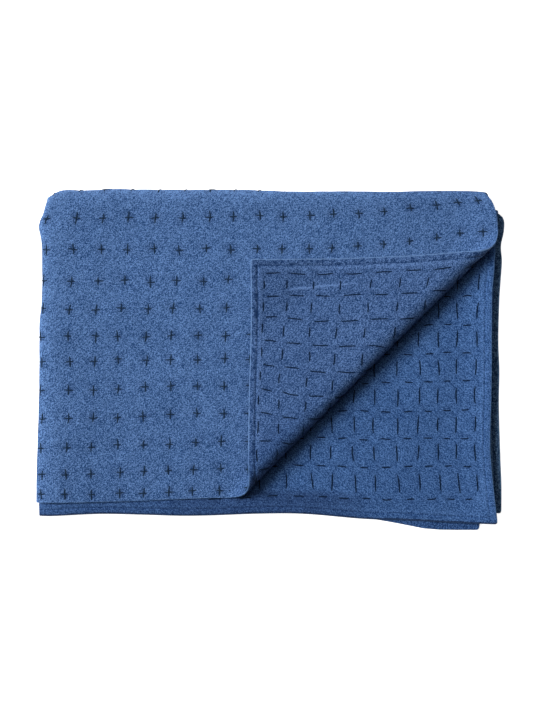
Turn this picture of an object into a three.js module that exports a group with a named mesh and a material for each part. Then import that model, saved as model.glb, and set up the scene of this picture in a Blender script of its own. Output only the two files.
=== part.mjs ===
// A hand-stitched throw quilt: two thin plies quilted as one cloth, folded in half twice into four
// leaves, with the corner of the top leaf turned back in a soft roll.
// Millimetres, +X to the right along the long side, +Y towards the top crease, +Z up from the surface.
import * as THREE from "three";

// The flat cloth. u runs along the quilt from the left fold, positive on the upper pair of leaves.
// v runs across it from the top crease, positive on the outer leaves, negative on the inner ones.
const UPPER_LENGTH = 883; // from the left fold to the short hem of the upper pair
const LOWER_LENGTH = 895; // and of the lower pair, which reaches a little further
const OUTER_WIDTH = 605; // from the top crease to the long hem of the outer leaves
const INNER_WIDTH = 645; // and of the inner leaves
const CREASE_DRIFT = 13; // the crease runs this much out of line with the hems, towards its right end
const DRIFT_FROM = 400;

// Thickness of the cloth and how the leaves lie on each other
const PLY_HALF = 1.1; // half of the two quilted plies
const HEM_WIDTH = 15; // the hem is turned to the reverse
const HEM_EXTRA = 0.8; // what the turned hem adds there
const LEAF_PITCH = 4.6; // from the middle of one leaf to the middle of the next
const CREASE_RADIUS = LEAF_PITCH / 2;
const FOLD_RADIUS = LEAF_PITCH;
const FOLD_LOFT = 0.55; // the stack is this much thicker at its folded edges
const LOFT_REACH = 32;
const SWELL = 0.06; // slow waves in the stack, as a share of its height
const SWELL_LENGTH = 310;
const CORNER_RADIUS = 60; // the doubled corner is rounded off in plan
const CORNER_EASE = 10;

// The quilting: crosses on an uneven grid, sewn by eye
const COLUMNS = 18;
const OUTER_ROWS = 11;
const INNER_ROWS = 11;
const INNER_FIRST_ROW = 50; // from the long hem of the inner leaves
const INNER_ROW_PITCH = 55;
const COLUMNS_SETTLE = 350; // below the crease the inner columns keep their place from here on
const ROWS_DRIFT_FROM = 300; // along the quilt, the outer rows leave their left places from here on
const DIMPLE = 0.6; // how deep a cross draws the cloth in, on each face
const DIMPLE_REACH = 15;

// How far the columns of crosses stand from the short hem of the upper leaves, at the crease and at
// the long hems, and how far the outer rows stand from their long hem, at the left fold and at the right
const columnTable = [
  { column: 0, crease: 33, outer: 30, inner: 36 },
  { column: 3, crease: 170, outer: 163, inner: 149 },
  { column: 7, crease: 367, outer: 367, inner: 318 },
  { column: 10, crease: 514, outer: 525, inner: 480 },
  { column: 17, crease: 872, outer: 868, inner: 872 },
];
const rowTable = [
  { row: 0, left: 18, right: 25 },
  { row: 3, left: 167, right: 175 },
  { row: 6, left: 319, right: 346 },
  { row: 8, left: 428, right: 465 },
  { row: 10, left: 551, right: 571 },
];

// The turned-back corner: a roll across the corner at 45 degrees, which then settles on the leaf
const ROLL_START = 950; // across plus down, where the leaf begins to lift
const ROLL_RADIUS = 23;
const ROLL_DROOP = THREE.MathUtils.degToRad(14); // how far past half a turn it goes
const SETTLE_RADIUS = 150;

// The grid of the solid's faces
const FINEST = 4; // the smallest cell is a quarter of the space between two lines
const FOLD_STEPS = 3;
const CREASE_STEPS = 2;
const HIDDEN_LINES = [-760, -500, -240]; // the only lines across the middle of the lower leaves

// Where the long hems lie, as the distance below the top crease, by distance from the left fold
const longHems = [
  { across: 0, top: 604, second: 630, third: 630, under: 604 },
  { across: 210, top: 601, second: 627, third: 629, under: 601 },
  { across: 350, top: 598, second: 626, third: 624, under: 599 },
  { across: 510, top: 597, second: 627, third: 624, under: 601 },
  { across: 630, top: 597, second: 639, third: 634, under: 606 },
  { across: 720, top: 597, second: 644, third: 651, under: 613 },
  { across: 790, top: 597, second: 646, third: 659, under: 620 },
  { across: 895, top: 598, second: 649, third: 662, under: 630 },
];

// Where the short hems lie, as the distance from the left fold, by distance below the crease
const shortHems = [
  { down: 0, top: 867, second: 867, third: 889, under: 889 },
  { down: 16, top: 877, second: 874, third: 885, under: 899 },
  { down: 43, top: 887, second: 878, third: 884, under: 902 },
  { down: 78, top: 890, second: 880, third: 881, under: 897 },
  { down: 157, top: 885, second: 879, third: 878, under: 893 },
  { down: 400, top: 877, second: 877, third: 868, under: 892 },
  { down: 600, top: 871, second: 883, third: 853, under: 895 },
  { down: 662, top: 869, second: 889, third: 850, under: 897 },
];

// The left fold's outline, by distance below the crease, and the top crease's, by distance across
const leftFold = [
  { down: 0, inset: 0 },
  { down: 66, inset: -4 },
  { down: 126, inset: 3 },
  { down: 213, inset: 4 },
  { down: 407, inset: -1 },
  { down: 560, inset: -6 },
  { down: 660, inset: -6 },
];
const topCrease = [
  { across: 0, upper: 0, lower: 0 },
  { across: 62, upper: 3, lower: 3 },
  { across: 110, upper: -3, lower: 1 },
  { across: 310, upper: -1, lower: 6 },
  { across: 700, upper: 2, lower: 25 },
  { across: 860, upper: 2, lower: 36 },
  { across: 895, upper: 6, lower: 39 },
];

// The value of a table's column at a place between two rows, on a curve without corners
function between(table, key, column, place) {
  const last = table.length - 1;
  const found = table.findIndex((row) => row[key] > place);
  const after = found < 0 ? last : Math.max(found, 1);
  const low = table[after - 1];
  const high = table[after];
  const slope = (a, b) => (b[column] - a[column]) / (b[key] - a[key]);
  const slopeIn = slope(table[Math.max(after - 2, 0)], high);
  const slopeOut = slope(low, table[Math.min(after + 1, last)]);
  const span = high[key] - low[key];
  const share = THREE.MathUtils.clamp((place - low[key]) / span, 0, 1);
  const rest = 1 - share;
  return (
    low[column] * rest * rest * (1 + 2 * share) +
    high[column] * share * share * (1 + 2 * rest) +
    span * share * rest * (slopeIn * rest - slopeOut * share)
  );
}

// Where the crease runs at a distance u along the quilt
function creasePlace(u) {
  return CREASE_DRIFT * THREE.MathUtils.smoothstep(u, DRIFT_FROM, UPPER_LENGTH);
}

// Half a turn of cloth round a fold, from one leaf to the next: how far it lies in from the fold's
// outer line, and how high, for a signed distance along the cloth
function halfTurn(distance, radius, outer = radius) {
  const flat = Math.abs(distance) - (radius * Math.PI) / 2;
  if (flat > 0) {
    return { inward: outer + flat, rise: Math.sign(distance) * radius };
  }
  const angle = distance / radius;
  return { inward: outer - radius * Math.cos(angle), rise: radius * Math.sin(angle) };
}

// The turned-back corner's section: one arc past half a turn, a straight descent, and a slow arc
// that lays the flap on the leaf below
function rollSection(distance) {
  const dip = Math.sin(ROLL_DROOP);
  const level = Math.cos(ROLL_DROOP);
  const arc = ROLL_RADIUS * (Math.PI + ROLL_DROOP);
  const drop = ROLL_RADIUS * (1 + level) - SETTLE_RADIUS * (1 - level) - LEAF_PITCH;
  const descent = drop / dip;
  if (distance < arc) {
    const angle = distance / ROLL_RADIUS;
    return { forward: ROLL_RADIUS * Math.sin(angle), lift: ROLL_RADIUS * (1 - Math.cos(angle)) };
  }
  const straight = Math.min(distance - arc, descent);
  const forward = -ROLL_RADIUS * dip - straight * level;
  const lift = ROLL_RADIUS * (1 + level) - straight * dip;
  const rest = distance - arc - descent;
  if (rest < 0) {
    return { forward, lift };
  }
  const left = Math.max(ROLL_DROOP - rest / SETTLE_RADIUS, 0);
  const flat = Math.max(rest - SETTLE_RADIUS * ROLL_DROOP, 0);
  return {
    forward: forward - SETTLE_RADIUS * (dip - Math.sin(left)) - flat,
    lift: lift - SETTLE_RADIUS * (Math.cos(left) - level),
  };
}

// How much the folded edges and the slow waves raise the stack at a place in plan
function loft(across, down) {
  const folds = Math.exp(-Math.max(across, 0) / LOFT_REACH) + Math.exp(-Math.max(down, 0) / LOFT_REACH);
  const wave = Math.sin(across / SWELL_LENGTH + 0.6) * Math.cos((2 * down) / SWELL_LENGTH);
  return 1 + FOLD_LOFT * Math.min(folds, 1.2) + SWELL * wave;
}

// The square corner in plan rounded off: each line at one distance from the nearer edge becomes an arc
function roundedOff(across, down) {
  const apart = across - down;
  const ease = Math.max(CORNER_EASE - Math.abs(apart), 0);
  const radius = CORNER_RADIUS - Math.min(across, down) + (ease * ease) / (4 * CORNER_EASE);
  if (Math.abs(apart) >= radius) {
    return [across, down];
  }
  const angle = (Math.PI / 4) * (1 - apart / radius);
  return [CORNER_RADIUS - radius * Math.sin(angle), CORNER_RADIUS - radius * Math.cos(angle)];
}

// The middle of the cloth at a place on the flat quilt
function middle(u, v) {
  const upper = u > 0;
  const outer = v > creasePlace(u);
  const leaf = upper ? (outer ? "top" : "second") : outer ? "under" : "third";
  const creaseAt = creasePlace(u);
  const crease = halfTurn(v - creaseAt, CREASE_RADIUS);
  const fold = halfTurn(u, FOLD_RADIUS + crease.rise, FOLD_RADIUS + CREASE_RADIUS);

  const length = upper ? UPPER_LENGTH : LOWER_LENGTH;
  const width = outer ? OUTER_WIDTH - creaseAt : INNER_WIDTH + creaseAt;
  const shareAcross = fold.inward / length;
  const shareDown = crease.inward / width;
  const shortHem = between(shortHems, "down", leaf, crease.inward);
  const longHem = between(longHems, "across", leaf, fold.inward);
  const creaseLine = between(topCrease, "across", upper ? "upper" : "lower", fold.inward);
  const inset = between(leftFold, "down", "inset", crease.inward);
  let across = fold.inward + (shortHem - length) * shareAcross ** 2 + inset * (1 - shareAcross) ** 2;
  let down =
    crease.inward + creaseLine * (1 - shareDown) ** 2 + (longHem - width) * shareDown ** 2;
  [across, down] = roundedOff(across, down);

  let lift = 0;
  const past = (across + down - ROLL_START) * Math.SQRT1_2;
  if (leaf === "top" && past > 0) {
    const roll = rollSection(past);
    across += (roll.forward - past) * Math.SQRT1_2;
    down += (roll.forward - past) * Math.SQRT1_2;
    lift = roll.lift;
  }
  const height = (FOLD_RADIUS + CREASE_RADIUS + fold.rise) * loft(across, down);
  return new THREE.Vector3(across, -down, PLY_HALF + height + lift);
}

// The face side's direction, which is the outside of both folds
function facing(u, v) {
  const step = 0.05;
  const along = middle(u + step, v).sub(middle(u - step, v));
  const over = middle(u, v + step).sub(middle(u, v - step));
  return over.cross(along).normalize();
}

// Where a column of crosses runs at a distance v across the quilt
function columnPlace(column, v) {
  const share = v > 0 ? v / OUTER_WIDTH : THREE.MathUtils.smoothstep(-v, 0, COLUMNS_SETTLE);
  const crease = between(columnTable, "column", "crease", column);
  const hem = between(columnTable, "column", v > 0 ? "outer" : "inner", column);
  return UPPER_LENGTH - THREE.MathUtils.lerp(crease, hem, share);
}

// Where a row of crosses runs at a distance u along the quilt
function outerRowPlace(row, u) {
  const share = THREE.MathUtils.smoothstep(u, ROWS_DRIFT_FROM, UPPER_LENGTH);
  const left = between(rowTable, "row", "left", row);
  return OUTER_WIDTH - THREE.MathUtils.lerp(left, between(rowTable, "row", "right", row), share);
}

function innerRowPlace(row) {
  return INNER_FIRST_ROW + INNER_ROW_PITCH * row - INNER_WIDTH;
}

// Where the quilting is modelled: on the top leaf, and on the second one where the roll uncovers it
function quilted(u, v) {
  return u > FOLD_RADIUS * 2 && (v > 0 || u - v > ROLL_START);
}

// The places of the crosses that are modelled
function crossPlaces() {
  const places = [];
  for (let column = 0; column < COLUMNS; column += 1) {
    const nominal = columnPlace(column, 0);
    for (let row = 0; row < OUTER_ROWS; row += 1) {
      const u = columnPlace(column, outerRowPlace(row, nominal));
      places.push([u, outerRowPlace(row, u)]);
    }
    for (let row = 0; row < INNER_ROWS; row += 1) {
      const v = innerRowPlace(row);
      places.push([columnPlace(column, v), v]);
    }
  }
  return places.filter(([u, v]) => quilted(u, v));
}

const crosses = crossPlaces();

// How far the two faces stand from the middle: the crosses draw both in, the hem thickens the reverse
function halves(u, v) {
  const fromCross = Math.min(...crosses.map(([crossU, crossV]) => Math.hypot(u - crossU, v - crossV)));
  const drawnIn = DIMPLE * Math.max(0, 1 - fromCross / DIMPLE_REACH);
  const fromHem = Math.min(
    UPPER_LENGTH - u,
    LOWER_LENGTH + u,
    OUTER_WIDTH - v,
    INNER_WIDTH + v,
  );
  const fromFolds = Math.min(Math.abs(u), Math.abs(v - creasePlace(u)));
  const turned =
    HEM_EXTRA *
    THREE.MathUtils.clamp(2 - (2 * fromHem) / HEM_WIDTH, 0, 1) *
    THREE.MathUtils.smoothstep(fromFolds, 5, HEM_WIDTH);
  return { face: PLY_HALF - drawnIn, reverse: PLY_HALF - drawnIn + turned };
}

// Lines over the flat cloth, through the crosses and the hems and close together round a fold. Each is
// a function, because those along it follow the crease or a row, and those across it a column.
function steps(from, to, count) {
  return Array.from({ length: count + 1 }, (_, i) => from + ((to - from) * i) / count);
}

function linesAcross() {
  const halfArc = ((FOLD_RADIUS + CREASE_RADIUS) * Math.PI) / 2;
  const straight = (u) => () => u;
  const nearFold = [COLUMNS - 3, COLUMNS - 2];
  return [
    straight(-LOWER_LENGTH),
    straight(HEM_WIDTH - LOWER_LENGTH),
    ...HIDDEN_LINES.map(straight),
    ...nearFold.map((column) => straight(-columnPlace(column, 0))),
    ...steps(-halfArc, halfArc, FOLD_STEPS).map(straight),
    ...steps(COLUMNS - 2, 0, COLUMNS - 2).map((column) => (v) => columnPlace(column, v)),
    straight(UPPER_LENGTH - HEM_WIDTH),
    straight(UPPER_LENGTH),
  ];
}

function linesAlong() {
  const halfArc = (CREASE_RADIUS * Math.PI) / 2;
  const straight = (v) => () => v;
  return [
    straight(-INNER_WIDTH),
    straight(HEM_WIDTH - INNER_WIDTH),
    ...steps(0, INNER_ROWS - 1, INNER_ROWS - 1).map((row) => straight(innerRowPlace(row))),
    ...steps(-halfArc, halfArc, CREASE_STEPS).map((v) => (u) => creasePlace(u) + v),
    ...steps(OUTER_ROWS - 1, 0, OUTER_ROWS - 1).map((row) => (u) => outerRowPlace(row, u)),
    straight(OUTER_WIDTH),
  ];
}

// How many times a cell between two lines is halved: twice across the roll, once round the folds and
// where the quilting shows, and not at all on hidden leaves
function halvings(u, v) {
  const nearRoll = (u + v - ROLL_START) * Math.SQRT1_2;
  const rollEnd = ROLL_RADIUS * (Math.PI + ROLL_DROOP);
  if (v > 0 && nearRoll > -ROLL_RADIUS / 2 && nearRoll < rollEnd) {
    return 2;
  }
  const inCrease = Math.abs(v - creasePlace(u)) < CREASE_RADIUS * 1.5;
  const folded = Math.abs(u) < FOLD_RADIUS * 2 || inCrease;
  return folded || quilted(u, v) ? 1 : 0;
}

// The flat cloth as triangles. Cells of different sizes meet without gaps, because a large cell takes
// in the corners of its smaller neighbours.
function flatTriangles() {
  const columns = linesAcross();
  const rows = linesAlong();
  const points = [];
  const known = new Map();
  const place = (lines, at) => {
    const i = Math.min(Math.floor(at / FINEST), lines.length - 2);
    return THREE.MathUtils.lerp(lines[i], lines[i + 1], at / FINEST - i);
  };
  const pointAt = (i, j) => {
    const nominal = place(columns.map((line) => line(0)), i);
    const v = place(rows.map((line) => line(nominal)), j);
    return [place(columns.map((line) => line(v)), i), v];
  };
  const corner = (i, j) => {
    const name = i + "," + j;
    if (!known.has(name)) {
      known.set(name, points.length);
      points.push(pointAt(i, j));
    }
    return known.get(name);
  };

  const cells = [];
  for (let c = 0; c < columns.length - 1; c += 1) {
    for (let r = 0; r < rows.length - 1; r += 1) {
      const [u, v] = pointAt((c + 0.5) * FINEST, (r + 0.5) * FINEST);
      const parts = 2 ** halvings(u, v);
      const size = FINEST / parts;
      for (let i = 0; i < parts; i += 1) {
        for (let j = 0; j < parts; j += 1) {
          cells.push({ i: c * FINEST + i * size, j: r * FINEST + j * size, size });
        }
      }
    }
  }
  for (const { i, j, size } of cells) {
    corner(i, j);
    corner(i + size, j);
    corner(i + size, j + size);
    corner(i, j + size);
  }

  const triangles = [];
  for (const { i, j, size } of cells) {
    const rim = [];
    for (let k = 0; k < size; k += 1) rim.push([i + k, j]);
    for (let k = 0; k < size; k += 1) rim.push([i + size, j + k]);
    for (let k = size; k > 0; k -= 1) rim.push([i + k, j + size]);
    for (let k = size; k > 0; k -= 1) rim.push([i, j + k]);
    const used = rim.filter(([a, b]) => known.has(a + "," + b)).map(([a, b]) => corner(a, b));
    if (used.length === 4) {
      triangles.push([used[0], used[1], used[3]], [used[1], used[2], used[3]]);
      continue;
    }
    const centre = corner(i + size / 2, j + size / 2);
    used.forEach((point, n) => triangles.push([centre, point, used[(n + 1) % used.length]]));
  }
  return { points, triangles };
}

// The closed solid: the face side, the reverse side, and a rim where an edge has one triangle only
function quiltGeometry() {
  const { points, triangles } = flatTriangles();
  const positions = [];
  const offset = ({ centre, normal }, distance) => {
    positions.push(...centre.clone().addScaledVector(normal, distance).toArray());
  };
  const shell = points.map(([u, v]) => {
    return { centre: middle(u, v), normal: facing(u, v), half: halves(u, v) };
  });
  shell.forEach((point) => offset(point, point.half.face));
  shell.forEach((point) => offset(point, -point.half.reverse));

  const count = points.length;
  const index = [];
  const open = new Map();
  for (const [a, b, c] of triangles) {
    index.push(a, c, b);
    index.push(a + count, b + count, c + count);
    for (const [from, to] of [[a, b], [b, c], [c, a]]) {
      if (!open.delete(to + "," + from)) {
        open.set(from + "," + to, [from, to]);
      }
    }
  }
  for (const [from, to] of open.values()) {
    index.push(from, to, to + count);
    index.push(from, to + count, from + count);
  }
  const geometry = new THREE.BufferGeometry();
  geometry.setAttribute("position", new THREE.Float32BufferAttribute(positions, 3));
  geometry.setIndex(index);
  geometry.computeVertexNormals();
  return geometry;
}

// The quilt stands with the middle of its outline at the origin and its lowest leaf on the surface
function quilt() {
  const geometry = quiltGeometry();
  geometry.computeBoundingBox();
  const middleOfBox = geometry.boundingBox.getCenter(new THREE.Vector3());
  geometry.translate(-middleOfBox.x, -middleOfBox.y, -geometry.boundingBox.min.z);
  const cloth = new THREE.MeshStandardMaterial({ color: 0x44649a, roughness: 0.92, metalness: 0 });
  const mesh = new THREE.Mesh(geometry, cloth);
  mesh.name = "quilt_cloth";
  return mesh;
}

const part = new THREE.Group();
part.add(quilt());

export default part;
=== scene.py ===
import math

import bpy
import numpy as np
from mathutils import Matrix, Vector


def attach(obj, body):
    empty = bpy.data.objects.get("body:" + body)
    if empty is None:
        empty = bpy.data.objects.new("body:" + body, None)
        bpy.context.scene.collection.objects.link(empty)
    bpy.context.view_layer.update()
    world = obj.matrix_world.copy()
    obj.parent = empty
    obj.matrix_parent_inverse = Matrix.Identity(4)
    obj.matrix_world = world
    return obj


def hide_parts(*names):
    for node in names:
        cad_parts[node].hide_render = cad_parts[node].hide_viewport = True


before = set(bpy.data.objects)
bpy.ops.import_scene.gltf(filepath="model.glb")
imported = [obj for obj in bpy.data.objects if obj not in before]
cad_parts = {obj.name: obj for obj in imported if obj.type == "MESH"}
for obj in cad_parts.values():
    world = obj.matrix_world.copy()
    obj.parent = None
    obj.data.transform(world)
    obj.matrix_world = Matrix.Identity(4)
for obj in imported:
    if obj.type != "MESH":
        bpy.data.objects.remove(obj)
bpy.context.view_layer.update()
MM = 0.001

# The flat cloth, in millimetres: u runs from the left fold, v from the top crease, as in the part's source
UPPER_LENGTH = 883
LOWER_LENGTH = 895
OUTER_WIDTH = 605
INNER_WIDTH = 645
CREASE_DRIFT = 13
DRIFT_FROM = 400
PLY_HALF = 1.1
LEAF_PITCH = 4.6
CREASE_RADIUS = LEAF_PITCH / 2
FOLD_RADIUS = LEAF_PITCH
CORNER_RADIUS = 60
CORNER_EASE = 10

# The rolled corner
ROLL_START = 950
ROLL_RADIUS = 23
ROLL_DROOP = math.radians(14)
SETTLE_RADIUS = 150

# The turned hem, on the reverse: a raised band, a sewn groove and a low ridge beside it
HEM_WIDTH = 12.2
HEM_EXTRA = 0.85
HEM_SLOPE = {"before": 1.2, "after": 0.4}
HEM_EDGE = 1.3
LOST_AT_EDGE = 0.65
GROOVE = {"place": 13.3, "width": 1.0, "height": -0.8}
RIDGE = {"place": 16.6, "width": 1.5, "height": 0.6}

# The grid of stitches. Columns are distances from the short hem, at places down the leaf from the crease
COLUMN_PLACES = [0, 180, 410, 605]
COLUMNS = [
    {"crease": 25, "upper": 30, "lower": 32, "hem": 28, "inner": 31},
    {"crease": 67, "upper": 72, "lower": 77, "hem": 70, "inner": 68},
    {"crease": 112, "upper": 119, "lower": 125, "hem": 113, "inner": 104},
    {"crease": 160, "upper": 172, "lower": 176, "hem": 158, "inner": 143},
    {"crease": 213, "upper": 220, "lower": 228, "hem": 204, "inner": 185},
    {"crease": 262, "upper": 268, "lower": 278, "hem": 253, "inner": 231},
    {"crease": 310, "upper": 319, "lower": 326, "hem": 300, "inner": 271},
    {"crease": 355, "upper": 364, "lower": 372, "hem": 356, "inner": 315},
    {"crease": 405, "upper": 416, "lower": 420, "hem": 411, "inner": 356},
    {"crease": 453, "upper": 464, "lower": 471, "hem": 469, "inner": 405},
    {"crease": 499, "upper": 516, "lower": 521, "hem": 528, "inner": 458},
    {"crease": 545, "upper": 566, "lower": 573, "hem": 580, "inner": 515},
    {"crease": 597, "upper": 618, "lower": 625, "hem": 625, "inner": 572},
    {"crease": 648, "upper": 668, "lower": 676, "hem": 674, "inner": 630},
    {"crease": 701, "upper": 720, "lower": 727, "hem": 718, "inner": 690},
    {"crease": 752, "upper": 768, "lower": 774, "hem": 774, "inner": 750},
    {"crease": 803, "upper": 822, "lower": 820, "hem": 824, "inner": 812},
    {"crease": 862, "upper": 875, "lower": 873, "hem": 869, "inner": 872},
]
# Rows are distances from the long hem, at places across the leaf from the left fold
ROW_PLACES = [0, 360, 640, 883]
OUTER_ROWS = [
    {"fold": 15, "left": 17, "right": 20, "hem": 27},
    {"fold": 53, "left": 58, "right": 60, "hem": 70},
    {"fold": 106, "left": 111, "right": 110, "hem": 122},
    {"fold": 160, "left": 168, "right": 162, "hem": 175},
    {"fold": 215, "left": 222, "right": 216, "hem": 232},
    {"fold": 271, "left": 274, "right": 271, "hem": 289},
    {"fold": 319, "left": 321, "right": 323, "hem": 344},
    {"fold": 373, "left": 374, "right": 381, "hem": 405},
    {"fold": 427, "left": 428, "right": 438, "hem": 463},
    {"fold": 489, "left": 489, "right": 494, "hem": 514},
    {"fold": 547, "left": 552, "right": 557, "hem": 574},
    {"fold": 606, "left": 607, "right": 612, "hem": 621},
]
INNER_FIRST_ROW = {"fold": 34, "left": 35, "right": 41, "hem": 52}
INNER_SECOND_ROW = 117
INNER_ROW_PITCH = 56
INNER_ROWS = 11
INNER_ROW_LEAN = 0.043
COLUMNS_SETTLE = 350

# Each stitch on the face is short. The thread then runs under the cloth to the next one and shows as a dash
FACE_STITCH_ACROSS = 15.5
FACE_STITCH_ALONG = 20.0
NEAR_HEM = {"shorter": 0.24, "from": 400}
AT_CREASE = {"shorter": 0.3, "reach": 10, "last": -6}
DASH_SHARE_ACROSS = 0.42
DASH_SHARE_ALONG = 0.57
DASHES_SEEN = {"on_flap": 14, "on_second_leaf": -10, "before_roll": 40, "under_roll": 60}
FLAP_DASH_SLIP = 4.0
THREAD = 2.4
THREAD_SIDES = 6
THREAD_ARCH = {"height": 0.62, "sunk": 0.42}
FLOOR_GAP = 0.05

# How uneven the hand is: the grid and the slips in millimetres, lengths, leans and bows as shares
HAND = {
    "grid": 1.0,
    "cross_length": 0.09,
    "cross_lean": 0.055,
    "cross_slip": 0.7,
    "dash_length": 0.06,
    "dash_lean": 0.05,
    "dash_slip": 0.8,
    "bow": 0.025,
}
SEEDS = {"grid": 11, "dashes": 8, "crosses": 5, "cross_paths": 21, "dash_paths": 22}

# What the stitches do to the cloth. The puffs and the turned hem fade out at the folds, over these distances
CLOSED_FOLD = 5
OPEN_PART = 15
QUILTED_FROM = 20
DIMPLE = {"depth": 0.8, "width": 7.0}
FURROW = {"depth": 0.55, "width": 4.5}
PUFF = {"height": 0.5, "width": 9.0}

# A soft pressed ridge near the flap's hem, as distances over the flat cloth
PRESSED_RIDGE = {"from_v": 545, "to_v": 395, "ease": 25, "u": 822, "slope": 0.07, "height": 1.6, "width": 1.3}

# Painted shade on the reverse, as darker colour: round the roll's lower end, by u + v and by v - u for the
# turn, and along the second leaf's long hem
ROLL_END_SHADE = {
    "from": ROLL_START - 20,
    "full": ROLL_START + 30,
    "to": 1045,
    "clear": 1150,
    "from_turn": -230,
    "to_turn": 30,
}
SECOND_LEAF_HEM_SHADE = {
    "across": [0, 230, 300, 520, 600, 660],
    "share": [0.62, 0.66, 1, 1, 0.75, 0],
    "reach": 48,
    "ease": 10,
}

# The two upper leaves stand up a little along their short hem, over the plan distance from the left fold
SPRINGY_HEM = {"from_across": 790, "to_across": 885, "height": 11, "power": 1.5}

# The two middle leaves reach past the lowest one's long hem, and sag there, over the distance from it
SAGGING_HEM = {"from": -4, "to": 34, "share": 0.35}

# The fullness behind the folded edges, as a share of the stack's height. At the edge itself most is missing
LEFT_PILLOW = {"share": 1.25, "rise": 24, "reach": 85}
TOP_PILLOW = {"share": 0.8, "rise": 9, "reach": 50}
MISSING_AT_EDGE = 0.85
MOST_FULLNESS = 0.9

# Slow waves of the whole stack, as shares of its height
SWELL = {"share": 0.06, "length": 310, "phase": 0.6}
WAVES = [
    {"length": 118, "turn": 25, "phase": 0.4, "share": 0.020},
    {"length": 96, "turn": 110, "phase": 2.1, "share": 0.018},
    {"length": 171, "turn": 70, "phase": 4.0, "share": 0.022},
    {"length": 73, "turn": 155, "phase": 5.2, "share": 0.010},
]

# Where the hems, the left fold and the top crease lie: the part's own lines, followed more closely
LONG_HEMS = {
    "across": [0, 30, 120, 210, 280, 340, 420, 510, 630, 720, 790, 895],
    "top": [607, 607, 605.5, 603, 600, 598, 597, 599, 599, 597.5, 597, 598],
    "second": [633, 633, 629, 631, 633, 632, 629, 629, 639, 642, 646, 649],
    "third": [632, 632, 629, 630, 632, 631, 628, 627, 634, 647, 659, 661],
    "under": [604, 603, 602, 601, 600, 599, 600, 601, 606, 613, 620, 630],
}
SHORT_HEMS = {
    "down": [0, 16, 43, 78, 110, 157, 190, 277, 335, 400, 504, 550, 600, 662],
    "top": [863, 877, 887, 890, 888, 885, 883, 878, 877, 876, 875, 874.5, 875, 875],
    "second": [863, 868, 874, 878, 878, 876, 873, 872, 872, 871, 869, 872, 877, 884],
    "third": [886, 885, 884, 881, 880, 878, 877, 874, 871, 868, 860, 857, 854, 847],
    "under": [886, 903, 905, 899, 901, 898, 896, 894, 896, 895, 898, 900, 900, 901],
}
LEFT_FOLD = {
    "down": [0, 40, 62, 71, 84, 100, 130, 213, 255, 330, 407, 560, 660],
    "inset": [0, 6, 0.5, -1.5, 1, 4, 5.0, 4.3, 0, -0.5, -1.5, -6, -6],
}
TOP_CREASE = {
    "across": [0, 30, 50, 97, 147, 200, 310, 400, 500, 600, 700, 750, 840, 872, 895],
    "upper": [0, 0, 1, 1.7, -1, 0, 0.4, 0.4, 4, 3.5, 4.5, 3, 3, 5, 9],
    "lower": [0, 1.5, 2, 1, 2, 3, 6, 10, 15, 21, 25, 28, 35, 37, 39],
}


def curve(keys, values, place):
    """The value at each place on a curve through the table's values, without corners."""
    keys = np.array(keys, float)
    values = np.array(values, float)
    slopes = np.empty(len(keys))
    slopes[0] = (values[1] - values[0]) / (keys[1] - keys[0])
    slopes[-1] = (values[-1] - values[-2]) / (keys[-1] - keys[-2])
    slopes[1:-1] = (values[2:] - values[:-2]) / (keys[2:] - keys[:-2])
    after = np.clip(np.searchsorted(keys, place, side="right"), 1, len(keys) - 1)
    span = keys[after] - keys[after - 1]
    share = np.clip((place - keys[after - 1]) / span, 0, 1)
    rest = 1 - share
    ends = values[after - 1] * rest**2 * (1 + 2 * share) + values[after] * share**2 * (1 + 2 * rest)
    return ends + span * share * rest * (slopes[after - 1] * rest - slopes[after] * share)


def smooth(value, low, high):
    """From 0 at low to 1 at high, eased at both ends."""
    share = np.clip((value - low) / (high - low), 0, 1)
    return share * share * (3 - 2 * share)


def bell(distance, width):
    """From 1 at no distance, falling to nothing within a few widths."""
    return np.exp(-(distance**2) / (2 * width**2))


def crease_place(u):
    """Where the top crease lies on the flat cloth: off v = 0 towards the short hem."""
    return CREASE_DRIFT * smooth(u, DRIFT_FROM, UPPER_LENGTH)


def half_turn(distance, radius, outer):
    """How far cloth lies in from a fold's outer line, and how high, for a distance along the cloth."""
    flat = np.abs(distance) - radius * math.pi / 2
    angle = np.clip(distance / radius, -math.pi / 2, math.pi / 2)
    inward = np.where(flat > 0, outer + flat, outer - radius * np.cos(angle))
    return inward, radius * np.sin(angle)


def roll_section(distance):
    """The rolled corner in section: past half a turn, straight down, and laid flat by a slow arc."""
    dip, level = math.sin(ROLL_DROOP), math.cos(ROLL_DROOP)
    arc = ROLL_RADIUS * (math.pi + ROLL_DROOP)
    drop = ROLL_RADIUS * (1 + level) - SETTLE_RADIUS * (1 - level) - LEAF_PITCH
    descent = drop / dip
    angle = np.clip(distance, 0, arc) / ROLL_RADIUS
    straight = np.clip(distance - arc, 0, descent)
    rest = np.maximum(distance - arc - descent, 0)
    left = np.maximum(ROLL_DROOP - rest / SETTLE_RADIUS, 0)
    flat = np.maximum(rest - SETTLE_RADIUS * ROLL_DROOP, 0)
    settled = SETTLE_RADIUS * (dip - np.sin(left))
    forward = ROLL_RADIUS * np.sin(angle) - straight * level - settled - flat
    lift = ROLL_RADIUS * (1 - np.cos(angle)) - straight * dip - SETTLE_RADIUS * (np.cos(left) - level)
    return forward, lift


def pillow(distance, shape):
    """A fullness behind a folded edge, that rises quickly and dies away slowly."""
    distance = np.maximum(distance, 0)
    rounded = 1 - MISSING_AT_EDGE * np.exp(-distance / shape["rise"])
    return shape["share"] * rounded * np.exp(-distance / shape["reach"])


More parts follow.
